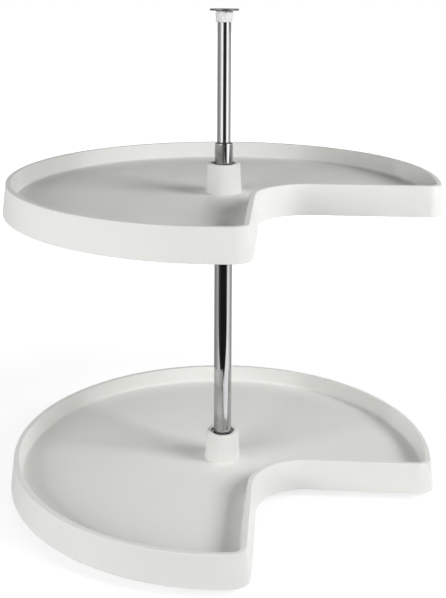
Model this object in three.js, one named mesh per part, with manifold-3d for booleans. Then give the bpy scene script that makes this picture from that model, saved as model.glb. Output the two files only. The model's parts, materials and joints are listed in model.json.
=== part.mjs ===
// Two-tier corner carousel: a pair of moulded kidney trays that turn on a telescoping post
// between a floor flange and a ceiling flange. Millimetres, +Z up. The origin is on the post's
// axis at the underside of the floor flange. The trays' cut-out faces +X and -Y.
import * as THREE from 'three';
import { mergeVertices } from 'three/addons/utils/BufferGeometryUtils.js';
import Module from 'manifold-3d';

const wasm = await Module();
wasm.setup();

// ---- driving dimensions, mm ----

const gap = 0.3; // between pieces that rest on each other

const tray = {
  rimRadius: 300, // outside of the rim, at its top
  flare: 5, // how much wider the wall is at its foot
  wallHeight: 42,
  rimWidth: 7.5,
  rimBevel: 1.2,
  floorDepth: 25, // rim top down to the floor
  floorThick: 3,
  floorCove: 3, // slope between the inner wall and the floor
  innerDraft: 1.5, // how much the inner wall leans in on its way down
  shellThick: 3,
  notchOffset: 49.5, // axis to each straight wall's outer face, at the rim top
  cornerRadius: 20, // where the straight walls meet the round one
  notchRadius: 75, // inner corner of the cut-out
  ribThick: 2.4,
  ribDepth: 8,
  ribCount: 12,
  hoopRadius: 150, // the ring of rib that ties the spokes
};

const hub = {
  topRadius: 23,
  footRadius: 25.4,
  rise: 18, // above the rim top
  bevel: 1.2,
  footCove: 1.6,
  boreRadius: 16.5,
  seatRadius: 21.5, // recess under the floor for the bearing flange
  seatWall: 2.5,
};

const post = {
  lowerRimTop: 54,
  traySpacing: 398,
  outerRadius: 12.7,
  outerWall: 1.2,
  outerTop: 500,
  lipRadius: 9.95, // opening of the rolled lip
  innerRadius: 9.525,
  innerWall: 1.2,
  innerBottom: 325,
  innerTop: 678,
};

const collar = {
  radius: 21,
  boreRadius: 12.95,
  height: 11.7,
  bevel: 0.9,
  screwRadius: 2.4,
  screwAngle: 135, // degrees, on the side away from the cut-out
  hexRadius: 1.45,
  hexDepth: 2.5,
};

const bearing = {
  boreRadius: 13, // everything that turns on the outer tube
  flangeRadius: 20,
  flangeThick: 2,
  sleeveRadius: 16.2,
  ringHeight: 4.9,
  ringDish: 1.2, // the metal ring's face falls this much towards the tube
  mouthDepth: 0.8, // hub top down to the ring's outer edge
};

const floorMount = {
  flangeRadius: 32,
  plateThick: 2.5,
  holePitchRadius: 23,
  holeRadius: 2.3,
  holeCount: 4,
  pinRadius: 5,
  pinHeadRadius: 8,
  pinHeadThick: 1.2,
  pinTop: 26,
  washerThick: 2,
  shoulderRadius: 14,
  shoulderThick: 3.5,
  spigotTop: 36,
};

const ceilingMount = {
  flangeRadius: 20,
  plateThick: 2.5,
  holePitchRadius: 13.5,
  holeRadius: 1.9,
  holeCount: 3,
  pinRadius: 4,
  pinHeadRadius: 6.5,
  pinHeadThick: 1.2,
  pinLength: 27,
  bushRadius: 12,
  bushHeight: 15.2,
  bushCover: 12, // how far the bush's cap reaches down over the tube
  bushBevel: 0.8,
  spigotLength: 16,
};

const lock = {
  eccentricity: 0.6,
  pinRadius: 4.5,
  pinClearance: 0.3,
  camRadius: 11.1,
  camHeight: 18.4,
  shoulderThick: 3.7,
  plugLength: 24,
  screwHeadRadius: 7.5,
  screwHeadThick: 2.7,
  screwRadius: 1.8,
  screwDepth: 12,
};

const guide = { height: 19, clearance: 0.25 };

// ---- heights that follow ----

// round one hub, measured from its tray's rim top
const underside = -(tray.floorDepth + tray.floorThick);
const ringTop = hub.rise - bearing.mouthDepth;
const sleeveTop = ringTop - bearing.ringHeight - gap;
const sleeveBottom = underside - gap - bearing.flangeThick;
const washerTop = sleeveBottom - gap;
const collarTop = washerTop - bearing.flangeThick - gap;
const collarBottom = collarTop - collar.height;

// at the foot of the post, above the floor
const footWasherBottom = floorMount.plateThick + gap;
const footWasherTop = footWasherBottom + floorMount.washerThick;
const shoulderTop = footWasherTop + gap + floorMount.shoulderThick;

// twist lock, from the inner tube's end down
const studTop = post.innerBottom - gap;
const studBottom = studTop - lock.shoulderThick;
const camTop = studBottom - gap;
const camBottom = camTop - lock.camHeight;
const eccentricBottom = camBottom - 0.5;

// at the head of the post
const bushBottom = post.innerTop - ceilingMount.bushCover;
const bushTop = bushBottom + ceilingMount.bushHeight;
const ceilingPlateTop = bushTop + gap + ceilingMount.plateThick;

// ---- resolution: segments in a full turn ----

const traySegments = 72;
const hoopSegments = 36;
const hubSegments = 32;
const tubeSegments = 28;
const smallSegments = 10;
const cornerSteps = 5;
const notchSteps = 8;

// ---- finishes ----

const finish = {
  whitePolymer: { color: 0xe9e9e4, roughness: 0.5, metalness: 0 },
  naturalNylon: { color: 0xf2f2ee, roughness: 0.4, metalness: 0 },
  greyNylon: { color: 0x8c8f90, roughness: 0.5, metalness: 0 },
  chrome: { color: 0xc9cbcc, roughness: 0.08, metalness: 1 },
  zincSteel: { color: 0x8f9294, roughness: 0.3, metalness: 1 },
  darkSteel: { color: 0x55585a, roughness: 0.25, metalness: 1 },
};

// ---- solids ----

const radians = (degrees) => (degrees * Math.PI) / 180;

function signedVolume(position, index) {
  const [a, b, c] = [new THREE.Vector3(), new THREE.Vector3(), new THREE.Vector3()];
  let total = 0;
  for (let i = 0; i < index.length; i += 3) {
    a.fromBufferAttribute(position, index[i]);
    b.fromBufferAttribute(position, index[i + 1]);
    c.fromBufferAttribute(position, index[i + 2]);
    total += a.dot(b.cross(c)) / 6;
  }
  return total;
}

// A closed geometry as a solid: shared vertices merged, empty triangles dropped, faces outward.
function solidOf(geometry) {
  const bare = geometry.clone();
  bare.deleteAttribute('normal');
  bare.deleteAttribute('uv');
  const merged = mergeVertices(bare, 1e-4);
  const { position } = merged.attributes;
  const triangles = [];
  for (let i = 0; i < merged.index.count; i += 3) {
    const corners = [0, 1, 2].map((k) => merged.index.getX(i + k));
    if (new Set(corners).size === 3) {
      triangles.push(...corners);
    }
  }
  if (signedVolume(position, triangles) < 0) {
    triangles.reverse();
  }
  return new wasm.Manifold(
    new wasm.Mesh({
      numProp: 3,
      vertProperties: new Float32Array(position.array),
      triVerts: new Uint32Array(triangles),
    }),
  );
}

function geometryOf(solid) {
  const { vertProperties, triVerts } = solid.getMesh();
  const geometry = new THREE.BufferGeometry();
  geometry.setAttribute('position', new THREE.BufferAttribute(vertProperties, 3));
  geometry.setIndex(new THREE.BufferAttribute(triVerts, 1));
  geometry.computeVertexNormals();
  return geometry;
}

// A turned solid about Z from [radius, height] corners. A profile that leaves the axis is closed.
function turned(corners, segments) {
  const points = corners.map(([r, z]) => new THREE.Vector2(r, z));
  const onAxis = points[0].x === 0 && points.at(-1).x === 0;
  if (!onAxis) {
    points.push(points[0].clone());
  }
  return solidOf(new THREE.LatheGeometry(points, segments).rotateX(Math.PI / 2));
}

const rod = (radius, bottom, top, segments) =>
  turned([[0, bottom], [radius, bottom], [radius, top], [0, top]], segments);

const ring = (inner, outer, bottom, top, segments) =>
  turned([[inner, bottom], [outer, bottom], [outer, top], [inner, top]], segments);

function prism(points, bottom, height) {
  const geometry = new THREE.ExtrudeGeometry(new THREE.Shape(points), {
    depth: height,
    bevelEnabled: false,
  });
  return solidOf(geometry.translate(0, 0, bottom));
}

function bar(length, width, height, centre) {
  return solidOf(new THREE.BoxGeometry(length, width, height).translate(...centre));
}

function namedMesh(name, solid, look, z = 0) {
  const mesh = new THREE.Mesh(geometryOf(solid), new THREE.MeshStandardMaterial(finish[look]));
  mesh.name = name;
  mesh.position.z = z;
  return mesh;
}

// ---- kidney tray, with its rim top at z = 0 ----

function arc(centre, radius, from, to, steps) {
  return Array.from({ length: steps + 1 }, (_, i) => {
    const angle = radians(from + ((to - from) * i) / steps);
    return new THREE.Vector2(
      centre[0] + radius * Math.cos(angle),
      centre[1] + radius * Math.sin(angle),
    );
  });
}

// The tray's outline in plan, drawn in from the rim's outside by inset (negative: outward).
// The arcs keep their centres, so outlines of every inset correspond point by point.
function kidney(inset) {
  const { rimRadius, notchOffset, cornerRadius, notchRadius } = tray;
  const side = notchOffset - cornerRadius;
  const reach = Math.sqrt((rimRadius - cornerRadius) ** 2 - side ** 2);
  const lean = THREE.MathUtils.radToDeg(Math.atan2(side, reach));
  const pitch = 360 / traySegments;
  const first = -lean;
  const last = 270 + lean;
  const angles = [first];
  for (let angle = 0; angle <= 270; angle += pitch) {
    angles.push(angle);
  }
  angles.push(last);
  const round = angles.map((angle) => arc([0, 0], rimRadius - inset, angle, angle, 1)[0]);
  const corner = cornerRadius - inset;
  const hollow = notchOffset + notchRadius;
  return [
    ...round,
    ...arc([side, -reach], corner, last - 360, 0, cornerSteps).slice(1),
    ...arc([hollow, -hollow], notchRadius + inset, 180, 90, notchSteps),
    ...arc([reach, -side], corner, -90, -lean, cornerSteps).slice(0, -1),
  ];
}

// A band that follows the outline, with the closed cross-section [inset, height].
function band(section) {
  const loops = section.map(([inset]) => kidney(inset));
  const around = loops[0].length;
  const vertices = [];
  const index = [];
  section.forEach(([, height], s) => {
    loops[s].forEach((point) => vertices.push(point.x, point.y, height));
    const next = (s + 1) % section.length;
    for (let i = 0; i < around; i += 1) {
      const j = (i + 1) % around;
      const [a, b, c, d] = [s * around + i, s * around + j, next * around + j, next * around + i];
      index.push(a, b, c, a, c, d);
    }
  });
  const geometry = new THREE.BufferGeometry();
  geometry.setAttribute('position', new THREE.Float32BufferAttribute(vertices, 3));
  geometry.setIndex(index);
  return solidOf(geometry);
}

// The wall is one folded shell: inner wall, rim, and a skirt that hangs below the floor.
function trayWall() {
  const { flare, wallHeight, rimWidth, rimBevel, floorDepth, floorCove } = tray;
  const { innerDraft, shellThick } = tray;
  const foldDepth = shellThick + 1;
  const outerAt = (depth) => (-flare * depth) / wallHeight;
  const wallFoot = rimWidth + innerDraft;
  const join = wallFoot + floorCove;
  return band([
    [outerAt(wallHeight), -wallHeight],
    [0, -rimBevel],
    [rimBevel, 0],
    [rimWidth - rimBevel, 0],
    [rimWidth, -rimBevel],
    [wallFoot, -(floorDepth - floorCove)],
    [join, -floorDepth],
    [join, underside],
    [wallFoot - shellThick, underside],
    [rimWidth - shellThick, -foldDepth],
    [outerAt(foldDepth) + shellThick, -foldDepth],
    [outerAt(wallHeight) + shellThick, -wallHeight],
  ]);
}

function trayRibs() {
  const { rimRadius, ribThick, ribDepth, ribCount, shellThick, hoopRadius } = tray;
  const bite = 0.5; // into the floor
  const top = underside + bite;
  const height = ribDepth + bite;
  const spokes = Array.from({ length: ribCount }, (_, i) => {
    const start = hub.boreRadius + shellThick;
    const spoke = bar(rimRadius, ribThick, height, [start + rimRadius / 2, 0, top - height / 2]);
    return spoke.rotate([0, 0, ((i + 0.5) * 360) / ribCount]);
  });
  const hoop = ring(hoopRadius, hoopRadius + ribThick, top - height, top, hoopSegments);
  const reach = prism(kidney(1), top - height, height);
  return spokes.reduce((sum, spoke) => sum.add(spoke), hoop).intersect(reach);
}

function trayHub() {
  const { topRadius, footRadius, rise, bevel, footCove, seatRadius, seatWall } = hub;
  const cone = turned(
    [
      [0, underside],
      [seatRadius, underside],
      [footRadius + footCove, -tray.floorDepth],
      [footRadius, -tray.floorDepth + footCove],
      [topRadius, rise - bevel],
      [topRadius - bevel, rise],
      [0, rise],
    ],
    hubSegments,
  );
  // a short wall round the bearing flange, where the ribs meet
  const seatBottom = underside - tray.ribDepth;
  const seat = ring(seatRadius, seatRadius + seatWall, seatBottom, underside + 1, hubSegments);
  return cone.add(seat);
}

function traySolid() {
  const floor = prism(kidney(tray.rimWidth + tray.innerDraft), underside, tray.floorThick);
  const bore = rod(hub.boreRadius, underside - 1, hub.rise + 1, hubSegments);
  const flangeSeat = rod(hub.seatRadius, underside - tray.ribDepth - 1, underside, hubSegments);
  return trayWall()
    .add(floor)
    .add(trayRibs())
    .add(trayHub())
    .subtract(flangeSeat)
    .subtract(bore);
}

// ---- what carries a tray ----

function hubSleeve() {
  const { boreRadius, flangeRadius, sleeveRadius } = bearing;
  return turned(
    [
      [boreRadius, sleeveBottom],
      [flangeRadius, sleeveBottom],
      [flangeRadius, underside - gap],
      [sleeveRadius, underside - gap],
      [sleeveRadius, sleeveTop],
      [boreRadius, sleeveTop],
    ],
    hubSegments,
  );
}

function hubRing() {
  const { boreRadius, sleeveRadius, ringHeight, ringDish } = bearing;
  return turned(
    [
      [boreRadius, ringTop - ringHeight],
      [sleeveRadius, ringTop - ringHeight],
      [sleeveRadius, ringTop],
      [boreRadius, ringTop - ringDish],
    ],
    hubSegments,
  );
}

function thrustWasher() {
  const { boreRadius, flangeRadius, flangeThick } = bearing;
  return ring(boreRadius, flangeRadius, washerTop - flangeThick, washerTop, hubSegments);
}

// Turns what stands on Z to lie along the collar screw, at half the collar's height.
const onScrewAxis = (solid) =>
  solid
    .rotate([0, 90, 0])
    .rotate([0, 0, collar.screwAngle])
    .translate([0, 0, collarBottom + collar.height / 2]);

function supportCollar() {
  const { radius, boreRadius, bevel, screwRadius } = collar;
  const body = turned(
    [
      [boreRadius, collarBottom],
      [radius - bevel, collarBottom],
      [radius, collarBottom + bevel],
      [radius, collarTop - bevel],
      [radius - bevel, collarTop],
      [boreRadius, collarTop],
    ],
    hubSegments,
  );
  const hole = rod(screwRadius + gap, boreRadius - 1, radius + 1, smallSegments);
  return body.subtract(onScrewAxis(hole));
}

function collarScrew() {
  const { radius, boreRadius, bevel, screwRadius, hexRadius, hexDepth } = collar;
  const outer = radius - bevel;
  const screw = turned(
    [
      [0, boreRadius],
      [screwRadius - bevel, boreRadius],
      [screwRadius, boreRadius + bevel],
      [screwRadius, outer],
      [0, outer],
    ],
    smallSegments,
  );
  const socket = rod(hexRadius, outer - hexDepth, outer + 1, 6);
  return onScrewAxis(screw.subtract(socket));
}

// ---- post ----

function outerTube() {
  const { outerRadius, outerWall, outerTop, lipRadius } = post;
  const bore = outerRadius - outerWall;
  const bottom = shoulderTop + gap;
  return turned(
    [
      [bore, bottom],
      [outerRadius, bottom],
      [outerRadius, outerTop - 2.4],
      [outerRadius - 0.6, outerTop - 0.9],
      [outerRadius - 1.8, outerTop],
      [lipRadius, outerTop],
      [lipRadius, outerTop - outerWall],
      [bore, outerTop - outerWall - 1],
    ],
    tubeSegments,
  );
}

function guideBush() {
  const top = post.outerTop - post.outerWall - 1 - gap;
  const outer = post.outerRadius - post.outerWall - gap;
  return ring(post.innerRadius + guide.clearance, outer, top - guide.height, top, tubeSegments);
}

function innerTube() {
  const { innerRadius, innerWall, innerBottom, innerTop } = post;
  return ring(innerRadius - innerWall, innerRadius, innerBottom, innerTop, tubeSegments);
}

// ---- twist lock at the inner tube's lower end ----

function lockStud() {
  const { eccentricity, pinRadius, plugLength, screwRadius, screwDepth } = lock;
  const plugRadius = post.innerRadius - post.innerWall - gap;
  const plug = turned(
    [
      [0, studBottom],
      [post.innerRadius, studBottom],
      [post.innerRadius, studTop],
      [plugRadius, studTop],
      [plugRadius, studTop + plugLength],
      [0, studTop + plugLength],
    ],
    tubeSegments,
  );
  const pin = rod(pinRadius, eccentricBottom, studBottom + 1, tubeSegments);
  const pilotTop = eccentricBottom + screwDepth + 1;
  const pilot = rod(screwRadius + gap, eccentricBottom - 1, pilotTop, smallSegments);
  return plug.add(pin.subtract(pilot).translate([eccentricity, 0, 0]));
}

function lockCam() {
  const { camRadius, eccentricity, pinRadius, pinClearance } = lock;
  const bore = rod(pinRadius + pinClearance, camBottom - 1, camTop + 1, tubeSegments);
  const body = rod(camRadius, camBottom, camTop, tubeSegments);
  return body.subtract(bore.translate([eccentricity, 0, 0]));
}

function lockScrew() {
  const { screwHeadRadius, screwHeadThick, screwRadius, screwDepth, eccentricity } = lock;
  const headTop = eccentricBottom - gap;
  return turned(
    [
      [0, headTop - screwHeadThick],
      [screwHeadRadius - 1.5, headTop - screwHeadThick],
      [screwHeadRadius, headTop - screwHeadThick + 1.2],
      [screwHeadRadius, headTop],
      [screwRadius, headTop],
      [screwRadius, eccentricBottom + screwDepth],
      [0, eccentricBottom + screwDepth],
    ],
    smallSegments,
  ).translate([eccentricity, 0, 0]);
}

// ---- mounting plates and pivots ----

// A round plate with countersunk screw holes that open on the side away from the wall,
// and a stepped hole for a pin whose head lies in the wall side. Wall side at z = 0.
function plate(mount) {
  const { flangeRadius, plateThick, holePitchRadius, holeRadius, holeCount } = mount;
  const { pinRadius, pinHeadRadius, pinHeadThick } = mount;
  const disc = turned(
    [
      [0, 0],
      [flangeRadius, 0],
      [flangeRadius, plateThick - 0.6],
      [flangeRadius - 0.6, plateThick],
      [0, plateThick],
    ],
    tubeSegments,
  );
  const sink = turned(
    [
      [0, -1],
      [holeRadius, -1],
      [holeRadius, 0.6],
      [holeRadius + plateThick - 0.6, plateThick],
      [holeRadius + plateThick - 0.6, plateThick + 1],
      [0, plateThick + 1],
    ],
    smallSegments,
  );
  const headSeat = rod(pinHeadRadius + gap, -1, pinHeadThick + gap, tubeSegments);
  const pinHole = rod(pinRadius + gap, -1, plateThick + 1, tubeSegments);
  const pierced = disc.subtract(headSeat).subtract(pinHole);
  return Array.from({ length: holeCount }, (_, i) =>
    sink.translate([holePitchRadius, 0, 0]).rotate([0, 0, 90 + ((i + 0.5) * 360) / holeCount]),
  ).reduce((rest, hole) => rest.subtract(hole), pierced);
}

// A pin that stands on its plate's wall side at z = 0 and points to +Z.
function pivotPin({ pinRadius, pinHeadRadius, pinHeadThick }, length) {
  return turned(
    [
      [0, 0],
      [pinHeadRadius, 0],
      [pinHeadRadius, pinHeadThick],
      [pinRadius, pinHeadThick],
      [pinRadius, length - 1.5],
      [pinRadius - 1.5, length],
      [0, length],
    ],
    tubeSegments,
  );
}

function bottomPlug() {
  const { pinRadius, pinTop, shoulderRadius, spigotTop } = floorMount;
  const bottom = footWasherTop + gap;
  const spigotRadius = post.outerRadius - post.outerWall - gap;
  return turned(
    [
      [0, pinTop + gap],
      [pinRadius + gap, pinTop + gap],
      [pinRadius + gap, bottom],
      [shoulderRadius, bottom],
      [shoulderRadius, shoulderTop],
      [spigotRadius, shoulderTop],
      [spigotRadius, spigotTop - 1.5],
      [spigotRadius - 1.5, spigotTop],
      [0, spigotTop],
    ],
    tubeSegments,
  );
}

// The white collar: a cap over the tube's end with a spigot inside it and a bore for the pin.
function topBush() {
  const { bushRadius, bushBevel, spigotLength, pinRadius } = ceilingMount;
  const tubeBore = post.innerRadius - post.innerWall;
  const slotTop = post.innerTop + gap;
  return turned(
    [
      [pinRadius + gap, bushBottom - spigotLength],
      [tubeBore - gap, bushBottom - spigotLength],
      [tubeBore - gap, slotTop],
      [post.innerRadius + gap, slotTop],
      [post.innerRadius + gap, bushBottom],
      [bushRadius - bushBevel, bushBottom],
      [bushRadius, bushBottom + bushBevel],
      [bushRadius, bushTop - bushBevel],
      [bushRadius - bushBevel, bushTop],
      [pinRadius + gap, bushTop],
    ],
    tubeSegments,
  );
}

const underCeiling = (solid) => solid.rotate([180, 0, 0]).translate([0, 0, ceilingPlateTop]);

function footWasher() {
  const { pinRadius, shoulderRadius } = floorMount;
  return ring(pinRadius + gap, shoulderRadius, footWasherBottom, footWasherTop, tubeSegments);
}

// ---- assembly ----

const carousel = new THREE.Group();

carousel.add(
  namedMesh('bottom_flange', plate(floorMount), 'zincSteel'),
  namedMesh('bottom_pivot_pin', pivotPin(floorMount, floorMount.pinTop), 'zincSteel'),
  namedMesh('bottom_thrust_washer', footWasher(), 'naturalNylon'),
  namedMesh('bottom_plug', bottomPlug(), 'greyNylon'),
  namedMesh('outer_tube', outerTube(), 'chrome'),
  namedMesh('guide_bush', guideBush(), 'greyNylon'),
);

const trayBody = traySolid();
const sets = { lower: post.lowerRimTop, upper: post.lowerRimTop + post.traySpacing };
for (const [level, rimTop] of Object.entries(sets)) {
  carousel.add(
    namedMesh(`${level}_tray`, trayBody, 'whitePolymer', rimTop),
    namedMesh(`${level}_hub_sleeve`, hubSleeve(), 'naturalNylon', rimTop),
    namedMesh(`${level}_hub_ring`, hubRing(), 'darkSteel', rimTop),
    namedMesh(`${level}_thrust_washer`, thrustWasher(), 'naturalNylon', rimTop),
    namedMesh(`${level}_collar`, supportCollar(), 'zincSteel', rimTop),
    namedMesh(`${level}_collar_screw`, collarScrew(), 'darkSteel', rimTop),
  );
}

carousel.add(
  namedMesh('inner_tube', innerTube(), 'chrome'),
  namedMesh('lock_stud', lockStud(), 'zincSteel'),
  namedMesh('lock_cam', lockCam(), 'greyNylon'),
  namedMesh('lock_screw', lockScrew(), 'darkSteel'),
  namedMesh('top_bush', topBush(), 'naturalNylon'),
  namedMesh('top_flange', underCeiling(plate(ceilingMount)), 'chrome'),
  namedMesh(
    'top_pivot_pin',
    underCeiling(pivotPin(ceilingMount, ceilingMount.pinLength)),
    'zincSteel',
  ),
);

export default carousel;
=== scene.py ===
import json
import math

import bmesh
import bpy
from mathutils import Matrix, Vector


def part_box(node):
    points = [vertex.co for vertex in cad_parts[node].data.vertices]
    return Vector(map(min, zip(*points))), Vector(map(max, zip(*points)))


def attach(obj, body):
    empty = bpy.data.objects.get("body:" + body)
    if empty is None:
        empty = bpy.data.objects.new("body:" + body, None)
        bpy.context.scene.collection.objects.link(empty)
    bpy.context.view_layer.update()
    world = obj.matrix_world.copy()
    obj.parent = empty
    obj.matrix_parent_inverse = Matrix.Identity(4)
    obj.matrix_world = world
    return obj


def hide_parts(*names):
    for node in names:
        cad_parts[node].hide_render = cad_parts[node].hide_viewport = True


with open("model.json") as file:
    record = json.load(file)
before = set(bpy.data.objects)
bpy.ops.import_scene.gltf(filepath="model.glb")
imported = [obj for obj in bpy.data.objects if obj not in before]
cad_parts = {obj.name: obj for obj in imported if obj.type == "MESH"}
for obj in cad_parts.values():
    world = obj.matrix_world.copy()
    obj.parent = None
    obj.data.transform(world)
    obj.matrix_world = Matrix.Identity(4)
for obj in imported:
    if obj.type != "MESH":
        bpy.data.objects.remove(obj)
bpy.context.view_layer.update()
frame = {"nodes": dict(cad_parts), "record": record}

# Corner carousel: two white kidney trays that turn on a chromed telescoping post.

mm = 0.001
bodyOf = {node: body for body, nodes in frame["record"]["behaviour"]["bodies"].items() for node in nodes}
slotOf = {part["node"]: part["material_slot"] for part in frame["record"]["subparts"]}
print("frame loaded:", len(frame["nodes"]), "nodes")


# Shader graphs

class Wire:  # a node's output that can stand in a sum
    def __init__(self, graph, socket):
        self.graph = graph
        self.socket = socket

    def __add__(self, other):
        return self.graph.maths("ADD", self, other)

    def __sub__(self, other):
        return self.graph.maths("SUBTRACT", self, other)

    def __rsub__(self, other):
        return self.graph.maths("SUBTRACT", other, self)

    def __mul__(self, other):
        return self.graph.maths("MULTIPLY", self, other)

    __radd__ = __add__
    __rmul__ = __mul__


class Graph:
    def __init__(self, owner):
        owner.use_nodes = True
        self.tree = owner.node_tree
        self.tree.nodes.clear()

    def node(self, kind, settings=None, sockets=None, output=0):
        made = self.tree.nodes.new("ShaderNode" + kind)
        for name, value in (settings or {}).items():
            if name == "stops":
                self.setStops(made.color_ramp, value)
            else:
                setattr(made, name, value)
        for name, value in (sockets or {}).items():
            if isinstance(value, Wire):
                self.tree.links.new(value.socket, made.inputs[name])
            else:
                made.inputs[name].default_value = value
        return Wire(self, made.outputs[output]) if made.outputs else None

    def setStops(self, ramp, stops):
        while len(ramp.elements) < len(stops):
            ramp.elements.new(1.0)
        for element, (position, level) in zip(ramp.elements, stops):
            element.position = position
            element.color = (level, level, level, 1)

    def maths(self, operation, a, b=0.0):
        return self.node("Math", {"operation": operation}, {0: a, 1: b})

    def mixColour(self, factor, a, b):
        a, b = (c if isinstance(c, Wire) else (*c, 1) for c in (a, b))
        return self.node("Mix", {"data_type": "RGBA"}, {"Factor": factor, 6: a, 7: b}, 2)

    def mixShader(self, factor, a, b):
        return self.node("MixShader", None, {0: factor, 1: a, 2: b})

    def axis(self, vector, name):
        return self.node("SeparateXYZ", None, {"Vector": vector}, name)

    def fade(self, value, start, end):
        # 0 where value is start, 1 where it is end, and straight between them
        return self.node("MapRange", None, {"Value": value, "From Min": start, "From Max": end})

    def bump(self, height, depth):
        return self.node("Bump", None, {"Strength": 1.0, "Distance": depth, "Height": height})

    def noise(self, place, size, detail=2.0, roughness=0.5, stretch=(1, 1, 1)):
        # size is the width of one blotch, in metres; stretch makes it longer along an axis
        scale = tuple(1 / (size * s) for s in stretch)
        spot = self.node("Mapping", None, {"Vector": place, "Scale": scale})
        sockets = {"Vector": spot, "Scale": 1.0, "Detail": detail, "Roughness": roughness}
        return self.node("TexNoise", None, sockets, "Fac")


def material(name, build):
    made = bpy.data.materials.new(name)
    graph = Graph(made)
    place = graph.node("TexCoord", None, None, "Object")
    surface = graph.node("BsdfPrincipled", None, build(graph, place))
    graph.node("OutputMaterial", None, {"Surface": surface})
    return made


# Finishes

polymer = {
    "colour": (0.80, 0.798, 0.777),
    "shade": (0.776, 0.778, 0.752),  # where the melt cooled last
    "cloudSize": 70 * mm,
    "roughness": 0.40,
    "roughnessSpread": 0.12,
    "grainSize": 0.9 * mm,
    "grainDepth": 0.012 * mm,
    "scuffSize": 14 * mm,
    "scuffStretch": (1, 3, 1),
    "refraction": 1.49,
    "milkiness": 0.08,
    "milkDepth": (3 * mm, 3 * mm, 2.5 * mm),
}


def whitePolymer(graph, place):
    clouds = graph.noise(place, polymer["cloudSize"], detail=4, roughness=0.6)
    grain = graph.noise(place, polymer["grainSize"], detail=3, roughness=0.6)
    scuffs = graph.noise(place, polymer["scuffSize"], 6, 0.65, stretch=polymer["scuffStretch"])
    spread = polymer["roughnessSpread"]
    return {
        "Base Color": graph.mixColour(clouds, polymer["colour"], polymer["shade"]),
        "Roughness": clouds * spread + scuffs * spread + (polymer["roughness"] - spread),
        "Normal": graph.bump(grain, polymer["grainDepth"]),
        "IOR": polymer["refraction"],
        "Subsurface Weight": polymer["milkiness"],
        "Subsurface Radius": polymer["milkDepth"],
        "Subsurface Scale": 1.0,
    }


nylon = {
    "natural": {"colour": (0.80, 0.805, 0.792), "shade": (0.72, 0.73, 0.72), "milkiness": 0.0},
    "grey": {"colour": (0.30, 0.31, 0.32), "shade": (0.24, 0.25, 0.26), "milkiness": 0.05},
    "cloudSize": 9 * mm,
    "roughness": 0.34,
    "roughnessSpread": 0.16,
    "grainSize": 0.6 * mm,
    "grainDepth": 0.005 * mm,
    "refraction": 1.53,
    "milkDepth": (2.5 * mm, 2.5 * mm, 2.2 * mm),
}


def nylonLook(tone):
    def build(graph, place):
        clouds = graph.noise(place, nylon["cloudSize"], detail=4, roughness=0.55)
        grain = graph.noise(place, nylon["grainSize"], detail=3)
        spread = nylon["roughnessSpread"]
        return {
            "Base Color": graph.mixColour(clouds, tone["colour"], tone["shade"]),
            "Roughness": clouds * spread + (nylon["roughness"] - spread / 2),
            "Normal": graph.bump(grain, nylon["grainDepth"]),
            "IOR": nylon["refraction"],
            "Subsurface Weight": tone["milkiness"],
            "Subsurface Radius": nylon["milkDepth"],
            "Subsurface Scale": 1.0,
        }
    return build


chromePlate = {
    "colour": (0.58, 0.584, 0.588),
    "smudged": (0.505, 0.51, 0.518),
    "roughness": 0.045,
    "smudgeRoughness": 0.075,
    "smudgeSize": 26 * mm,
    "smudgeEdges": (0.48, 0.72),  # noise levels between which a smudge thickens
    "smudgeShare": 0.6,
    "hairlineSize": 0.5 * mm,
    "hairlineStretch": (1, 1, 0.4),
    "hairlineRoughness": 0.02,
    "waveSize": 34 * mm,  # faint waviness of drawn tube
    "waveStretch": (1, 1, 3),
    "waveDepth": 0.02 * mm,
}

# painted shade: the tubes are darkened on their -X side just above each hub, a painted dark reflection of
# the hub's shade, and made a little rougher there
paintedHubShade = {
    "colour": (0.29, 0.29, 0.286),
    "roughness": 0.1,
    "rise": 10 * mm,  # hub ring's top up to the middle of the painted shade
    "reach": (22 * mm, 8 * mm),  # distances from that middle over which the painted shade comes up
    "side": (5 * mm, -4 * mm),  # x over which the painted shade comes up
    "size": 7 * mm,
    "edges": (0.35, 0.62),  # noise levels between which a blotch thickens
    "blotches": 0.5,
    "film": 0.35,  # what lies between the blotches
}


# painted shade: a mask for the darkened band on the tubes' -X side above each hub ring
def paintedHubShadeMask(graph, place):
    x = graph.axis(place, "X")
    z = graph.axis(place, "Z")
    bands = []
    for level in ("lower", "upper"):
        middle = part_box(f"{level}_hub_ring")[1].z + paintedHubShade["rise"]
        bands.append(graph.fade(graph.maths("ABSOLUTE", z - middle), *paintedHubShade["reach"]))
    side = graph.fade(x, *paintedHubShade["side"])
    blotches = graph.noise(place, paintedHubShade["size"], detail=5, roughness=0.7)
    patches = graph.fade(blotches, *paintedHubShade["edges"])
    return graph.maths("MAXIMUM", *bands) * side * (patches * paintedHubShade["blotches"] + paintedHubShade["film"])


def chrome(graph, place):
    smudges = graph.noise(place, chromePlate["smudgeSize"], detail=6, roughness=0.62)
    film = graph.fade(smudges, *chromePlate["smudgeEdges"])
    hairlines = graph.noise(place, chromePlate["hairlineSize"], stretch=chromePlate["hairlineStretch"])
    waves = graph.noise(place, chromePlate["waveSize"], 1, 0.4, stretch=chromePlate["waveStretch"])
    hubShadeMask = paintedHubShadeMask(graph, place)
    clean = graph.mixColour(film * chromePlate["smudgeShare"], chromePlate["colour"], chromePlate["smudged"])
    dulled = film * chromePlate["smudgeRoughness"] + hubShadeMask * paintedHubShade["roughness"]
    return {
        # the painted shade over each hub darkens the chrome's colour here
        "Base Color": graph.mixColour(hubShadeMask, clean, paintedHubShade["colour"]),
        "Metallic": 1.0,
        "Roughness": dulled + hairlines * chromePlate["hairlineRoughness"] + chromePlate["roughness"],
        "Normal": graph.bump(waves, chromePlate["waveDepth"]),
    }


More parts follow.
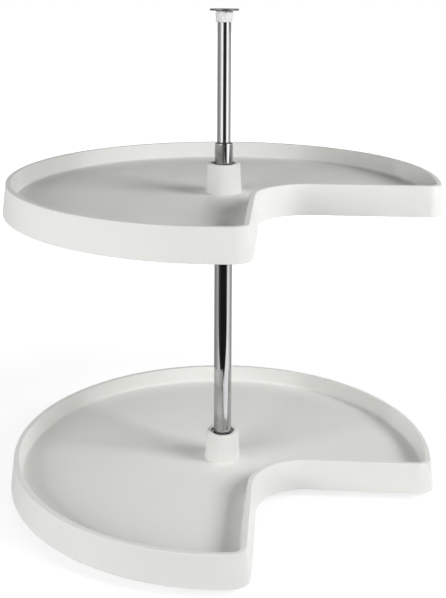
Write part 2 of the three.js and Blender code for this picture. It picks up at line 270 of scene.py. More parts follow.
plating = {
    "zinc": {"bright": (0.38, 0.385, 0.392), "dull": (0.26, 0.264, 0.268), "roughness": 0.50},
    "dark": {"bright": (0.42, 0.424, 0.43), "dull": (0.26, 0.262, 0.268), "roughness": 0.20},
    "satin": {"bright": (0.38, 0.383, 0.388), "dull": (0.27, 0.272, 0.276), "roughness": 0.42},
    "spangleSize": 3.2 * mm,
    "spangleSpread": 0.22,
    "grainSize": 0.35 * mm,
    "grainSpread": 0.08,
    "grainDepth": 0.01 * mm,
}


def platedSteel(tone):
    def build(graph, place):
        spangle = graph.noise(place, plating["spangleSize"], detail=5, roughness=0.6)
        grain = graph.noise(place, plating["grainSize"])
        spread = spangle * plating["spangleSpread"] + grain * plating["grainSpread"]
        middle = (plating["spangleSpread"] + plating["grainSpread"]) / 2
        return {
            "Base Color": graph.mixColour(spangle, tone["bright"], tone["dull"]),
            "Metallic": 1.0,
            "Roughness": spread + (tone["roughness"] - middle),
            "Normal": graph.bump(grain, plating["grainDepth"]),
        }
    return build


finishes = {
    "white_polymer": material("whitePolymer", whitePolymer),
    "natural_nylon": material("naturalNylon", nylonLook(nylon["natural"])),
    "grey_nylon": material("greyNylon", nylonLook(nylon["grey"])),
    "chrome": material("chromePlate", chrome),
    "zinc_steel": material("zincSteel", platedSteel(plating["zinc"])),
    "dark_steel": material("darkSteel", platedSteel(plating["dark"])),
    "satin_chrome": material("satinChrome", platedSteel(plating["satin"])),  # chromed over unpolished steel
}
print("finishes made:", len(finishes))


# Mesh making

overcut = 1 * mm  # how far a cutter stands out of what it cuts
running = 0.3 * mm  # clearance between neighbours
smoothRoll = 60  # degrees; an edge flatter than this stays smooth on a rolled bead or lip


def heights(node):
    low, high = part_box(node)
    return low.z, high.z


def linked(name, data):
    made = bpy.data.objects.new(name, data)
    bpy.context.scene.collection.objects.link(made)
    return made


def finished(name, mesh):
    bmesh.ops.recalc_face_normals(mesh, faces=mesh.faces)
    data = bpy.data.meshes.new(name)
    mesh.to_mesh(data)
    mesh.free()
    return linked(name, data)


def softened(corners, steps=4):
    # an open outline of (across, up, radius) corners, with each corner rounded to its radius
    points = []
    for i, (x, z, radius) in enumerate(corners):
        here = Vector((x, z))
        if radius == 0 or i in (0, len(corners) - 1):
            points.append(here)
            continue
        before = Vector(corners[i - 1][:2]) - here
        after = Vector(corners[i + 1][:2]) - here
        half = before.angle(after) / 2
        spare = 0.49 * min(before.length, after.length)  # the next corner needs the other half
        reach = min(radius / math.tan(half), spare)
        start = here + before.normalized() * reach
        end = here + after.normalized() * reach
        bisector = (before.normalized() + after.normalized()).normalized()
        centre = here + bisector * (reach / math.cos(half))
        sweep = (start - centre).angle_signed(end - centre)
        for k in range(steps + 1):
            arm = start - centre
            arm.rotate(Matrix.Rotation(-sweep * k / steps, 2))
            points.append(centre + arm)
    return points


def skin(name, rings, closed):
    # a mesh from rings of points; a ring of one point is a pole
    mesh = bmesh.new()
    loops = [[mesh.verts.new(point) for point in ring] for ring in rings]
    pairs = list(zip(loops, loops[1:]))
    if closed:
        pairs.append((loops[-1], loops[0]))
    for a, b in pairs:
        count = max(len(a), len(b))
        for i in range(count):
            j = (i + 1) % count
            corners = dict.fromkeys((a[i % len(a)], a[j % len(a)], b[j % len(b)], b[i % len(b)]))
            mesh.faces.new(corners)
    return finished(name, mesh)


def turned(name, corners, segments=96, steps=4):
    # a turned piece from (radius, height, rounding) corners; it is closed unless it meets the axis
    points = softened(corners, steps)
    onAxis = points[0].x == 0
    if not onAxis:
        points = softened([*corners, corners[0]], steps)[:-1]
    angles = [2 * math.pi * i / segments for i in range(segments)]
    rings = []
    for radius, height in points:
        spots = angles if radius > 0 else [0.0]
        rings.append([Vector((radius * math.cos(a), radius * math.sin(a), height)) for a in spots])
    return skin(name, rings, not onAxis)


def joined(pieces):
    with bpy.context.temp_override(active_object=pieces[0], selected_editable_objects=pieces):
        bpy.ops.object.join()
    return pieces[0]


def combine(piece, tool, operation):
    modifier = piece.modifiers.new("combine", "BOOLEAN")
    modifier.operation = operation
    modifier.solver = "EXACT"
    modifier.use_self = True
    modifier.object = tool
    shape = piece.evaluated_get(bpy.context.evaluated_depsgraph_get())
    result = bpy.data.meshes.new_from_object(shape)
    piece.modifiers.clear()
    piece.data = result
    bpy.data.objects.remove(tool)
    return piece


def install(piece, node, sharp=32, finish=None):
    # smooth shading with crisp creases, then the node's finish, body and slot
    piece.data.shade_smooth()
    piece.data.set_sharp_from_angle(angle=math.radians(sharp))
    weighted = piece.modifiers.new("even shading", "WEIGHTED_NORMAL")
    weighted.keep_sharp = True
    piece.data.materials.clear()
    piece.data.materials.append(finishes[finish or slotOf[node]])
    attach(piece, bodyOf[node])
    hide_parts(node)
    return piece


# Kidney tray

trayShape = {
    "rimRadius": 300 * mm,  # outside of the rim, at its top
    "flare": 5 * mm,  # how much wider the wall is at its foot
    "wallHeight": 42 * mm,
    "rimWidth": 7.5 * mm,
    "floorDepth": 25 * mm,  # rim top down to the floor
    "floorThick": 3 * mm,
    "innerDraft": 1.7 * mm,
    "shellThick": 3 * mm,
    "rimThick": 4 * mm,  # rim top down to the hollow between wall and skirt
    "notchOffset": 49.5 * mm,  # axis to each straight wall's outer face
    "cornerRadius": 20 * mm,
    "notchRadius": 75 * mm,
    "rimRounding": 1.6 * mm,
    "floorCove": 4 * mm,
    "floorBand": 7 * mm,  # floor that belongs to the wall's outline, wider than the cove
    "footRounding": 0.8 * mm,
    "hollowRounding": 0.5 * mm,
    "underRounding": 1 * mm,
}

ribShape = {
    "thick": 2.4 * mm,
    "depth": 8 * mm,
    "taper": 0.08,  # share of the thickness that each side loses at the foot
    "count": 12,
    "hoopRadius": 150 * mm,
    "rootInset": 1.2 * mm,  # into the bearing seat's wall
    "endInset": 8 * mm,  # from the rim's outside
    "floorOverlap": 0.5 * mm,
}

hubShape = {
    "topRadius": 23 * mm,
    "footRadius": 25.4 * mm,
    "rise": 18 * mm,  # above the rim top
    "rounding": 1.5 * mm,
    "footCove": 1.8 * mm,
    "sweepRadius": 45 * mm,  # where the floor starts to rise towards the hub
    "sweepRise": 2.0 * mm,
    "sweepSteps": 8,
    "boreRadius": 16.5 * mm,
    "boreEdge": 0.4 * mm,
    "mouthEdge": 0.5 * mm,
    "seatRadius": 21.5 * mm,
    "seatWall": 2.5 * mm,
    "seatEdge": 0.5 * mm,
    "seatCove": 0.8 * mm,
    "underBand": 5 * mm,  # floor's underside that belongs to the hub's outline
}

traySteps = {"round": 200, "corner": 10, "notch": 28, "straight": 12, "floor": 5}


def arc(centre, radius, start, end, steps):
    turns = [start + (end - start) * i / steps for i in range(steps + 1)]
    return [Vector((centre[0] + radius * math.cos(a), centre[1] + radius * math.sin(a))) for a in turns]


def straight(start, end, steps):
    return [start.lerp(end, i / steps) for i in range(1, steps)]


def kidney(inset):
    # the outline in plan, drawn in by inset; every inset gives matching points
    side = trayShape["notchOffset"] - trayShape["cornerRadius"]
    reach = math.sqrt((trayShape["rimRadius"] - trayShape["cornerRadius"]) ** 2 - side ** 2)
    lean = math.atan2(side, reach)
    hollow = trayShape["notchOffset"] + trayShape["notchRadius"]
    corner = trayShape["cornerRadius"] - inset
    quarter = math.pi / 2
    steps = traySteps
    wall = arc((0, 0), trayShape["rimRadius"] - inset, -lean, 3 * quarter + lean, steps["round"])
    first = arc((side, -reach), corner, lean - quarter, 0, steps["corner"])
    inner = arc((hollow, -hollow), trayShape["notchRadius"] + inset, 2 * quarter, quarter, steps["notch"])
    second = arc((reach, -side), corner, -quarter, -lean, steps["corner"])
    return [
        *wall,
        *first[1:],
        *straight(first[-1], inner[0], steps["straight"]),
        *inner,
        *straight(inner[-1], second[0], steps["straight"]),
        *second[:-1],
    ]


def wallOutline():
    # (inset, height) from the floor's top, over the rim, round the skirt, to the floor's underside
    shape = trayShape
    foot = -shape["wallHeight"]
    top = -shape["floorDepth"]
    under = top - shape["floorThick"]
    fold = -shape["rimThick"]
    innerFoot = shape["rimWidth"] + shape["innerDraft"]
    band = innerFoot + shape["floorBand"]
    shell = shape["shellThick"]

    def outerAt(height):
        return shape["flare"] * height / shape["wallHeight"]

    return softened([
        (band, top, 0),
        (innerFoot, top, shape["floorCove"]),
        (shape["rimWidth"], 0, shape["rimRounding"]),
        (0, 0, shape["rimRounding"]),
        (outerAt(foot), foot, shape["footRounding"]),
        (outerAt(foot) + shell, foot, shape["footRounding"]),
        (outerAt(fold) + shell, fold, shape["hollowRounding"]),
        (shape["rimWidth"] - shell, fold, shape["hollowRounding"]),
        (innerFoot - shell, under, shape["underRounding"]),
        (band, under, 0),
    ])


def hubOutline():
    # (radius, height) from the floor's underside, up the bore, over the mouth, to the floor's top
    hub = hubShape
    top = -trayShape["floorDepth"]
    under = top - trayShape["floorThick"]
    seatFoot = under - ribShape["depth"]
    seatOuter = hub["seatRadius"] + hub["seatWall"]
    sweep = []
    for i in range(2, hub["sweepSteps"] + 1):  # the foot's cove takes up the first step
        share = i / hub["sweepSteps"]
        radius = hub["footRadius"] + (hub["sweepRadius"] - hub["footRadius"]) * share
        sweep.append(Vector((radius, top + hub["sweepRise"] * (1 - share) ** 2)))
    return softened([
        (seatOuter + hub["underBand"], under, 0),
        (seatOuter, under, hub["seatCove"]),
        (seatOuter, seatFoot, hub["seatEdge"]),
        (hub["seatRadius"], seatFoot, hub["seatEdge"]),
        (hub["seatRadius"], under, hub["boreEdge"]),
        (hub["boreRadius"], under, hub["boreEdge"]),
        (hub["boreRadius"], hub["rise"], hub["mouthEdge"]),
        (hub["topRadius"], hub["rise"], hub["rounding"]),
        (hub["footRadius"], top + hub["sweepRise"], hub["footCove"]),
        (sweep[0].x, sweep[0].y, 0),
    ], steps=5) + sweep[1:]


def reachAt(angle, inset):
    # distance from the axis to the outline, in the direction of angle
    direction = Vector((math.cos(angle), math.sin(angle)))
    loop = kidney(inset)
    for a, b in zip(loop, [*loop[1:], loop[0]]):
        crossA = direction.cross(a)
        crossB = direction.cross(b)
        if crossA * crossB <= 0 and direction.dot(a) > 0 and crossA != crossB:
            return a.lerp(b, crossA / (crossA - crossB)).length
    return 0.0


def ribs(rimTop):
    # spokes and one hoop under the floor
    shape = ribShape
    thick = shape["thick"]
    under = rimTop - trayShape["floorDepth"] - trayShape["floorThick"]
    top = under + shape["floorOverlap"]
    bottom = under - shape["depth"]
    section = [(0.0, top), (shape["taper"], bottom), (1 - shape["taper"], bottom), (1.0, top)]
    start = hubShape["seatRadius"] + shape["rootInset"]
    pieces = []
    for i in range(shape["count"]):
        angle = (i + 0.5) * 2 * math.pi / shape["count"]
        along = Vector((math.cos(angle), math.sin(angle), 0))
        across = Vector((-along.y, along.x, 0)) * thick
        edges = [across * (s - 0.5) + Vector((0, 0, z)) for s, z in section]
        ends = (start, reachAt(angle, shape["endInset"]))
        pieces.append(capped(f"spoke{i}", [[along * r + edge for edge in edges] for r in ends]))
    hoop = shape["hoopRadius"]
    turns = [math.radians(1.5 * i) for i in range(-20, 201)]  # past both ends of the cut-out
    rings = []
    for turn in turns:
        if reachAt(turn, shape["endInset"]) > hoop + thick:
            out = Vector((math.cos(turn), math.sin(turn), 0))
            rings.append([out * (hoop + thick * s) + Vector((0, 0, z)) for s, z in section])
    pieces.append(capped("hoop", rings))
    return joined(pieces)


def capped(name, rings):
    # a bar through a run of four-sided rings, closed at both ends
    mesh = bmesh.new()
    loops = [[mesh.verts.new(point) for point in ring] for ring in rings]
    for a, b in zip(loops, loops[1:]):
        for i in range(4):
            j = (i + 1) % 4
            mesh.faces.new((a[i], a[j], b[j], b[i]))
    mesh.faces.new(loops[0])
    mesh.faces.new(loops[-1])
    return finished(name, mesh)


def kidneyTray(name, node):
    rimTop = heights(node)[0] + trayShape["wallHeight"]
    wallRings = []
    for inset, height in wallOutline():
        wallRings.append([Vector((p.x, p.y, rimTop + height)) for p in kidney(inset)])
    angles = [math.atan2(p.y, p.x) for p in wallRings[0]]
    hubRings = []
    for radius, height in hubOutline():
        z = rimTop + height
        hubRings.append([Vector((radius * math.cos(a), radius * math.sin(a), z)) for a in angles])

    def between(start, end):
        # rings over the floor, closer together near start
        shares = [(i / traySteps["floor"]) ** 1.5 for i in range(1, traySteps["floor"])]
        return [[a.lerp(b, share) for a, b in zip(start, end)] for share in shares]

    floorTop = between(hubRings[-1], wallRings[0])
    floorUnder = between(hubRings[0], wallRings[-1])[::-1]
    body = skin(name, [*hubRings, *floorTop, *wallRings, *floorUnder], True)
    return install(combine(body, ribs(rimTop), "UNION"), node)


for level in ("lower", "upper"):
    kidneyTray(f"{level}TrayMoulding", f"{level}_tray")
print("trays made")


# What carries each tray

bearing = {
    "boreRadius": 13 * mm,
    "flangeRadius": 20 * mm,
    "flangeThick": 2 * mm,
    "sleeveRadius": 16.2 * mm,
    "beadRise": 1.0 * mm,
    "beadSteps": 16,
    "ringRecess": 1.2 * mm,  # how far the bead's top lies below the solid's
    "ringEdge": 0.3 * mm,
    "ringSegments": 128,
    "edge": 0.35 * mm,
}

collarShape = {
    "radius": 21 * mm,
    "boreRadius": 12.95 * mm,
    "rounding": 0.9 * mm,
    "boreEdge": 0.4 * mm,
    "screwRadius": 2.4 * mm,
    "screwAngle": math.radians(135),
    "screwPoint": 0.8 * mm,
    "screwEdge": 0.4 * mm,
    "screwSegments": 48,
    "holeChamfer": 0.5 * mm,
    "hexRadius": 1.45 * mm,
    "hexDepth": 2.5 * mm,
}


def hubSleeve(name, node):
    bottom, top = heights(node)
    shoulder = bottom + bearing["flangeThick"]
    edge = bearing["edge"]
    piece = turned(name, [
        (bearing["boreRadius"], bottom, edge),
        (bearing["flangeRadius"], bottom, edge),
        (bearing["flangeRadius"], shoulder, edge),
        (bearing["sleeveRadius"], shoulder, edge),
        (bearing["sleeveRadius"], top, edge),
        (bearing["boreRadius"], top, edge),
    ])
    return install(piece, node)


def hubRing(name, node):
    # a metal ring in the hub's mouth, rolled to a bead
    bottom, top = heights(node)
    top -= bearing["ringRecess"]
    middle = (bearing["boreRadius"] + bearing["sleeveRadius"]) / 2
    half = (bearing["sleeveRadius"] - bearing["boreRadius"]) / 2
    rise = bearing["beadRise"]
    crown = arc((0, 0), 1, 0, math.pi, bearing["beadSteps"])
    piece = turned(name, [
        (bearing["boreRadius"], bottom, bearing["ringEdge"]),
        (bearing["sleeveRadius"], bottom, bearing["ringEdge"]),
        *((middle + half * p.x, top - rise + rise * p.y, 0) for p in crown),
    ], bearing["ringSegments"])
    return install(piece, node, smoothRoll)


def flatWasher(name, node, bore, radius):
    bottom, top = heights(node)
    edge = bearing["edge"]
    piece = turned(name, [
        (bore, bottom, edge),
        (radius, bottom, edge),
        (radius, top, edge),
        (bore, top, edge),
    ])
    return install(piece, node)


def alongScrew(piece, middle):
    # lays what stands on Z along the collar screw
    turn = Matrix.Rotation(collarShape["screwAngle"], 4, "Z") @ Matrix.Rotation(math.pi / 2, 4, "Y")
    piece.data.transform(Matrix.Translation((0, 0, middle)) @ turn)
    return piece


def supportCollar(name, node):
    bottom, top = heights(node)
    shape = collarShape
    piece = turned(name, [
        (shape["boreRadius"], bottom, shape["boreEdge"]),
        (shape["radius"], bottom, shape["rounding"]),
        (shape["radius"], top, shape["rounding"]),
        (shape["boreRadius"], top, shape["boreEdge"]),
    ])
    inside = shape["boreRadius"] - 2 * overcut
    bore = shape["screwRadius"] + running
    chamfer = shape["holeChamfer"]
    hole = turned("screwHole", [
        (0, inside, 0),
        (bore, inside, 0),
        (bore, shape["radius"] - chamfer, 0),
        (bore + 2 * chamfer, shape["radius"] + chamfer, 0),
        (0, shape["radius"] + chamfer, 0),
    ], shape["screwSegments"])
    return install(combine(piece, alongScrew(hole, (bottom + top) / 2), "DIFFERENCE"), node)


def collarScrew(name, node):
    bottom, top = heights(node)
    shape = collarShape
    outer = shape["radius"] - shape["rounding"]
    piece = turned(name, [
        (0, shape["boreRadius"], 0),
        (shape["screwRadius"], shape["boreRadius"], shape["screwPoint"]),
        (shape["screwRadius"], outer, shape["screwEdge"]),
        (0, outer, 0),
    ], shape["screwSegments"])
    socket = turned("hexSocket", [
        (0, outer - shape["hexDepth"], 0),
        (shape["hexRadius"], outer - shape["hexDepth"], 0),
        (shape["hexRadius"], outer + overcut, 0),
        (0, outer + overcut, 0),
    ], segments=6)
    return install(alongScrew(combine(piece, socket, "DIFFERENCE"), (bottom + top) / 2), node)


for level in ("lower", "upper"):
    hubSleeve(f"{level}HubSleeve", f"{level}_hub_sleeve")
    hubRing(f"{level}HubRing", f"{level}_hub_ring")
    flatWasher(f"{level}ThrustWasher", f"{level}_thrust_washer",
               bearing["boreRadius"], bearing["flangeRadius"])
    supportCollar(f"{level}SupportCollar", f"{level}_collar")
    collarScrew(f"{level}CollarScrew", f"{level}_collar_screw")
print("bearings and collars made")


# Post

postShape = {
    "outerRadius": 12.7 * mm,
    "innerRadius": 9.525 * mm,
    "wall": 1.2 * mm,
    "footEdge": 0.3 * mm,
    "lipRadius": 9.95 * mm,
    "lipRounding": 2.3 * mm,
    "lipSteps": 12,
    "lipEdge": 0.15 * mm,
    "lipUnderEdge": 0.4 * mm,
    "lipSlope": 0.5 * mm,  # how much deeper the lip's underside lies at the tube's wall
    "lipCove": 0.6 * mm,
    "innerEdge": 0.35 * mm,
    "innerBoreEdge": 0.25 * mm,
    "guideGap": 0.25 * mm,
    "guideEdge": 0.4 * mm,
    "segments": 160,
}


def outerTube():
    bottom, top = heights("outer_tube")
    shape = postShape
    bore = shape["outerRadius"] - shape["wall"]
    roll = shape["lipRounding"]
    centre = (shape["outerRadius"] - roll, top - roll)
    piece = turned("outerTube", [
        (bore, bottom, shape["footEdge"]),
        (shape["outerRadius"], bottom, shape["footEdge"]),
        *((p.x, p.y, 0) for p in arc(centre, roll, 0, math.pi / 2, shape["lipSteps"])),
        (shape["lipRadius"], top, shape["lipEdge"]),
        (shape["lipRadius"], top - shape["wall"], shape["lipUnderEdge"]),
        (bore, top - roll - shape["lipSlope"], shape["lipCove"]),
    ], shape["segments"])
    return install(piece, "outer_tube", smoothRoll)


def innerTube():
    bottom, top = heights("inner_tube")
    shape = postShape
    bore = shape["innerRadius"] - shape["wall"]
    piece = turned("innerTube", [
        (bore, bottom, shape["innerBoreEdge"]),
        (shape["innerRadius"], bottom, shape["innerEdge"]),
        (shape["innerRadius"], top, shape["innerEdge"]),
        (bore, top, shape["innerBoreEdge"]),
    ], shape["segments"])
    return install(piece, "inner_tube")


def guideBush():
    bottom, top = heights("guide_bush")
    shape = postShape
    outer = shape["outerRadius"] - shape["wall"] - running
    inner = shape["innerRadius"] + shape["guideGap"]
    edge = shape["guideEdge"]
    piece = turned("guideBush", [
        (inner, bottom, edge),
        (outer, bottom, edge),
        (outer, top, edge),
        (inner, top, edge),
    ])
    return install(piece, "guide_bush")


outerTube()
innerTube()
guideBush()
print("tubes made")


# Ends of the post

floorFitting = {
    "flangeRadius": 32 * mm,
    "holePitchRadius": 23 * mm,
    "holeRadius": 2.3 * mm,
    "holeCount": 4,
    "pinRadius": 5 * mm,
    "pinHeadRadius": 8 * mm,
    "shoulderRadius": 14 * mm,
    "shoulderThick": 3.5 * mm,
    "shoulderEdge": 0.5 * mm,
    "boreEnd": 0.3 * mm,
    "spigotTip": 1.5 * mm,
}

ceilingFitting = {
    "flangeRadius": 20 * mm,
    "holePitchRadius": 13.5 * mm,
    "holeRadius": 1.9 * mm,
    "holeCount": 3,
    "pinRadius": 4 * mm,
    "pinHeadRadius": 6.5 * mm,
    "bushRadius": 12 * mm,
    "bushRounding": 1.1 * mm,
    "capDepth": 12 * mm,  # how far the bush's cap reaches down over the tube
    "spigotTip": 0.6 * mm,
}

fixing = {  # what both ends share
    "wallEdge": 0.3 * mm,
    "faceEdge": 0.8 * mm,
    "holeLand": 0.6 * mm,  # straight part of a screw hole, before its countersink
    "headThick": 1.2 * mm,  # of a pivot pin
    "headCone": (1 * mm, 0.4 * mm),  # across and up, on the head's wall side
    "headEdge": 0.5 * mm,
    "stemEdge": 0.2 * mm,
    "stemTip": 1.5 * mm,
    "boreEdge": 0.4 * mm,
    "innerEdge": 0.2 * mm,
    "roundSegments": 128,
    "seatSegments": 64,  # and the pins'
    "holeSegments": 40,
}


def plate(name, fitting, thick):
    # wall side at z = 0; the screw holes open on the other side
    radius = fitting["flangeRadius"]
    disc = turned(name, [
        (0, 0, 0),
        (radius, 0, fixing["wallEdge"]),
        (radius, thick, fixing["faceEdge"]),
        (0, thick, 0),
    ], fixing["roundSegments"])
    head = fitting["pinHeadRadius"] + running
    stem = fitting["pinRadius"] + running
    step = fixing["headThick"] + running
    seat = turned("headSeat", [
        (0, -overcut, 0),
        (head, -overcut, 0),
        (head, step, 0),
        (stem, step, 0),
        (stem, thick + overcut, 0),
        (0, thick + overcut, 0),
    ], fixing["seatSegments"])
    hole = fitting["holeRadius"]
    sinkRadius = hole + thick - fixing["holeLand"]
    cutters = [seat]
    for i in range(fitting["holeCount"]):
        sink = turned(f"sink{i}", [
            (0, -overcut, 0),
            (hole, -overcut, 0),
            (hole, fixing["holeLand"], 0),
            (sinkRadius, thick, 0),
            (sinkRadius, thick + overcut, 0),
            (0, thick + overcut, 0),
        ], fixing["holeSegments"])
        angle = math.pi / 2 + (i + 0.5) * 2 * math.pi / fitting["holeCount"]
        place = Matrix.Rotation(angle, 4, "Z") @ Matrix.Translation((fitting["holePitchRadius"], 0, 0))
        sink.data.transform(place)
        cutters.append(sink)
    return combine(disc, joined(cutters), "DIFFERENCE")


def pivotPin(name, fitting, length):
    radius = fitting["pinRadius"]
    head = fitting["pinHeadRadius"]
    across, up = fixing["headCone"]
    return turned(name, [
        (0, 0, 0),
        (head - across, 0, fixing["headEdge"]),
        (head, up, fixing["headEdge"]),
        (head, fixing["headThick"], fixing["stemEdge"]),
        (radius, fixing["headThick"], fixing["stemEdge"]),
        (radius, length, fixing["stemTip"]),
        (0, length, 0),
    ], fixing["seatSegments"])


def floorEnd():
    bottom, top = heights("bottom_flange")
    install(plate("floorFlange", floorFitting, top - bottom), "bottom_flange")
    pinBottom, pinTop = heights("bottom_pivot_pin")
    install(pivotPin("floorPivotPin", floorFitting, pinTop - pinBottom), "bottom_pivot_pin")
    bore = floorFitting["pinRadius"] + running
    outer = floorFitting["shoulderRadius"]
    flatWasher("floorThrustWasher", "bottom_thrust_washer", bore, outer)
    low, high = heights("bottom_plug")
    shoulder = low + floorFitting["shoulderThick"]
    spigot = postShape["outerRadius"] - postShape["wall"] - running
    install(turned("floorPlug", [
        (0, pinTop + running, 0),
        (bore, pinTop + running, floorFitting["boreEnd"]),
        (bore, low, fixing["boreEdge"]),
        (outer, low, floorFitting["shoulderEdge"]),
        (outer, shoulder, floorFitting["shoulderEdge"]),
        (spigot, shoulder, fixing["innerEdge"]),
        (spigot, high, floorFitting["spigotTip"]),
        (0, high, 0),
    ]), "bottom_plug")


def ceilingEnd():
    # the plate and its pin are made wall side down, then turned over under the ceiling
    bottom, top = heights("top_flange")
    over = Matrix.Translation((0, 0, top)) @ Matrix.Rotation(math.pi, 4, "X")
    flange = plate("ceilingFlange", ceilingFitting, top - bottom)
    flange.data.transform(over)
    install(flange, "top_flange", finish="satin_chrome")
    pinBottom, pinTop = heights("top_pivot_pin")
    pin = pivotPin("ceilingPivotPin", ceilingFitting, pinTop - pinBottom)
    pin.data.transform(over)
    install(pin, "top_pivot_pin")
    low, high = heights("top_bush")
    tubeTop = heights("inner_tube")[1]
    capTop = tubeTop + running
    capBottom = tubeTop - ceilingFitting["capDepth"]
    bore = ceilingFitting["pinRadius"] + running
    spigot = postShape["innerRadius"] - postShape["wall"] - running
    sleeve = postShape["innerRadius"] + running
    install(turned("ceilingBush", [
        (bore, low, fixing["boreEdge"]),
        (spigot, low, ceilingFitting["spigotTip"]),
        (spigot, capTop, fixing["innerEdge"]),
        (sleeve, capTop, fixing["innerEdge"]),
        (sleeve, capBottom, fixing["boreEdge"]),
        (ceilingFitting["bushRadius"], capBottom, ceilingFitting["bushRounding"]),
        (ceilingFitting["bushRadius"], high, ceilingFitting["bushRounding"]),
        (bore, high, fixing["boreEdge"]),
    ], fixing["roundSegments"]), "top_bush")


floorEnd()
ceilingEnd()
print("ends of the post made")


# The twist lock inside the tubes keeps its CAD shapes

for node in ("lock_stud", "lock_cam", "lock_screw"):
    kept = frame["nodes"][node]
    kept.data.materials.clear()
    kept.data.materials.append(finishes[slotOf[node]])


# Studio

studio = {
    "floorSize": 24.0,
    "floorColour": (0.80, 0.80, 0.80),
    "shadowShare": 0.42,  # how much of the floor's own light and shadow the camera sees
    "floorGlow": 1.35,
    "shadowReach": (1.6, 0.5),  # metres from the post over which the shadow comes up out of plain white
    "ambient": 0.01,
    "aimHeight": 0.3,
    "lampDistance": 2.3,
    "nearFloor": (1.9, 2.6),  # metres from the post between which the floor's levels turn into the walls'
    "tableEdge": (0.36, 0.39),  # metres in front of the post at which the pale table ends
    "overhead": (0.36, 0.66),  # height of a direction over which the walls darken
    "overheadLevel": 0.07,
    "roomStrength": 1.2,
}

# grey levels that gloss and metal see round the room: (degrees from the camera's side towards +X, level)
roomWalls = [
    (-180, 1.0), (-166, 1.0), (-150, 0.36), (-110, 0.26), (-68, 0.36), (-52, 0.74), (-38, 1.28), (-18, 1.36),
    (-11, 0.08), (4, 0.025), (38, 0.03), (47, 1.12), (60, 1.42), (78, 1.38), (87, 0.20), (125, 0.18),
    (150, 0.28), (166, 1.0), (180, 1.0),
]
roomFloor = [
    (-180, 1.0), (-166, 0.9), (-150, 0.12), (-112, 0.15), (-90, 0.30), (-74, 0.54), (-60, 0.42), (-50, 0.06),
    (-20, 0.012), (48, 0.015), (60, 0.75), (72, 0.98), (86, 0.98), (100, 0.40), (128, 0.20), (144, 0.16),
    (166, 0.9), (180, 1.0),
]
roomTable = [
    (-180, 0.9), (-150, 0.30), (-112, 0.26), (-90, 0.36), (-66, 0.50), (-50, 0.72), (0, 0.80), (40, 0.95),
    (75, 1.05), (92, 0.75), (106, 0.46), (130, 0.38), (150, 0.40), (180, 0.9),
]

softboxes = {
    "key": {"azimuth": 70, "elevation": 28, "width": 1.1, "tall": 0.9, "power": 46.5},
    "fill": {"azimuth": -42, "elevation": 15, "width": 1.5, "tall": 1.1, "power": 36},
    "back": {"azimuth": -140, "elevation": 30, "width": 1.1, "tall": 1.1, "power": 3},
    "rearLeft": {"azimuth": -152, "elevation": -3, "width": 1.6, "tall": 0.28, "power": 17},
    "rearRight": {"azimuth": 150, "elevation": -3, "width": 1.6, "tall": 0.28, "power": 18},
}


def roomLevels(graph, kind, place, levels):
    # a Background or Emission node with the level that lies in the compass direction of place
    turn = graph.maths("ARCTAN2", graph.axis(place, "X"), graph.axis(place, "Y") * -1)
    stops = [(degrees / 360 + 0.5, level) for degrees, level in levels]
    level = graph.node("ValToRGB", {"stops": stops}, {"Fac": turn * (0.5 / math.pi) + 0.5})
    return graph.node(kind, None, {"Color": level, "Strength": studio["roomStrength"]})


def studioWorld():
    world = bpy.data.worlds.new("studio")
    bpy.context.scene.world = world
    graph = Graph(world)
    direction = graph.node("TexCoord", None, None, "Generated")
    walls = roomLevels(graph, "Background", direction, roomWalls)
    dim = studio["overheadLevel"]
    strength = studio["roomStrength"]
    overhead = graph.node("Background", None, {"Color": (dim, dim, dim, 1), "Strength": strength})
    upward = graph.fade(graph.axis(direction, "Z"), *studio["overhead"])
    room = graph.mixShader(upward, walls, overhead)
    ambient = graph.node("Background", None, {"Color": (1, 1, 1, 1), "Strength": studio["ambient"]})
    white = graph.node("Background", None, {"Color": (1, 1, 1, 1), "Strength": 1.0})
    glossy = graph.node("LightPath", None, None, "Is Glossy Ray")
    clear = graph.node("LightPath", None, None, "Is Transmission Ray")
    camera = graph.node("LightPath", None, None, "Is Camera Ray")
    lit = graph.mixShader(graph.maths("MAXIMUM", glossy, clear), ambient, room)
    graph.node("OutputWorld", None, {"Surface": graph.mixShader(camera, lit, white)})


def floorPaint():
    paint = bpy.data.materials.new("studioFloor")
    graph = Graph(paint)
    place = graph.node("TexCoord", None, None, "Object")
    diffuse = graph.node("BsdfDiffuse", None, {"Color": (*studio["floorColour"], 1)})
    glow = graph.node("Emission", None, {"Strength": studio["floorGlow"]})
    table = roomLevels(graph, "Emission", place, roomTable)
    near = roomLevels(graph, "Emission", place, roomFloor)
    far = roomLevels(graph, "Emission", place, roomWalls)
    distance = graph.node("VectorMath", {"operation": "LENGTH"}, {0: place}, "Value")
    outward = graph.fade(distance, *studio["nearFloor"])
    pastTable = graph.fade(graph.axis(place, "Y") * -1, *studio["tableEdge"])
    room = graph.mixShader(pastTable, table, graph.mixShader(outward, near, far))
    closeness = graph.fade(distance, *studio["shadowReach"])
    seen = graph.mixShader(closeness * studio["shadowShare"], glow, diffuse)
    glossy = graph.node("LightPath", None, None, "Is Glossy Ray")
    camera = graph.node("LightPath", None, None, "Is Camera Ray")
    lit = graph.mixShader(glossy, diffuse, room)
    graph.node("OutputMaterial", None, {"Surface": graph.mixShader(camera, lit, seen)})
    return paint


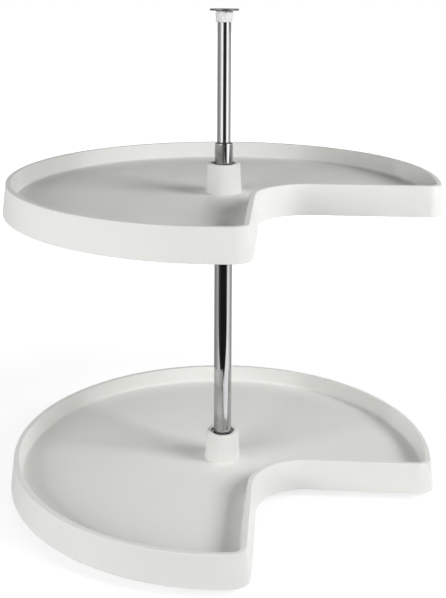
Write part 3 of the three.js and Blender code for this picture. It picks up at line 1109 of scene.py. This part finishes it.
def studioFloor():
    half = studio["floorSize"] / 2
    corners = [Vector((x * half, y * half, 0)) for x, y in ((-1, -1), (1, -1), (1, 1), (-1, 1))]
    mesh = bpy.data.meshes.new("studioFloor")
    mesh.from_pydata(corners, [], [(0, 1, 2, 3)])
    mesh.materials.append(floorPaint())
    floor = linked("studioFloor", mesh)


def studioLights():
    aim = Vector((0, 0, studio["aimHeight"]))
    for name, box in softboxes.items():
        lamp = bpy.data.lights.new(f"softbox {name}", "AREA")
        lamp.shape = "RECTANGLE"
        lamp.size = box["width"]
        lamp.size_y = box["tall"]
        lamp.energy = box["power"]
        lampObject = linked(lamp.name, lamp)
        around = math.radians(box["azimuth"])
        up = math.radians(box["elevation"])
        outward = Vector((math.sin(around) * math.cos(up), -math.cos(around) * math.cos(up), math.sin(up)))
        lampObject.location = aim + outward * studio["lampDistance"]
        lampObject.visible_glossy = False  # gloss and metal show the room's levels instead
        lampObject.rotation_mode = "QUATERNION"
        lampObject.rotation_quaternion = outward.to_track_quat("Z", "Y")


studioWorld()
studioFloor()
studioLights()


# Camera: the photograph's view, 446 x 598

cameraView = {
    "place": (0.0976, -1.4092, 0.7289),
    "yaw": -0.06994,  # radians, clockwise from +Y
    "pitch": 0.16882,  # down
    "roll": 0.00474,
    "focal": 1025.4,  # pixels
    "axisRow": 150,  # row of the picture that the lens axis meets
    "height": 598,
    "sensor": 36.0,
}


def photoCamera():
    view = cameraView
    lens = bpy.data.cameras.new("photoCamera")
    lens.sensor_width = view["sensor"]
    lens.lens = view["focal"] / view["height"] * view["sensor"]
    lens.shift_y = (view["axisRow"] - view["height"] / 2) / view["height"]
    camera = linked("photoCamera", lens)
    turn = Matrix.Rotation(-view["yaw"], 4, "Z") @ Matrix.Rotation(math.pi / 2 - view["pitch"], 4, "X")
    turn = turn @ Matrix.Rotation(view["roll"], 4, "Z")
    camera.matrix_world = Matrix.Translation(view["place"]) @ turn
    bpy.context.scene.camera = camera


photoCamera()
bpy.context.scene.view_settings.view_transform = "Standard"
print("studio and camera set")
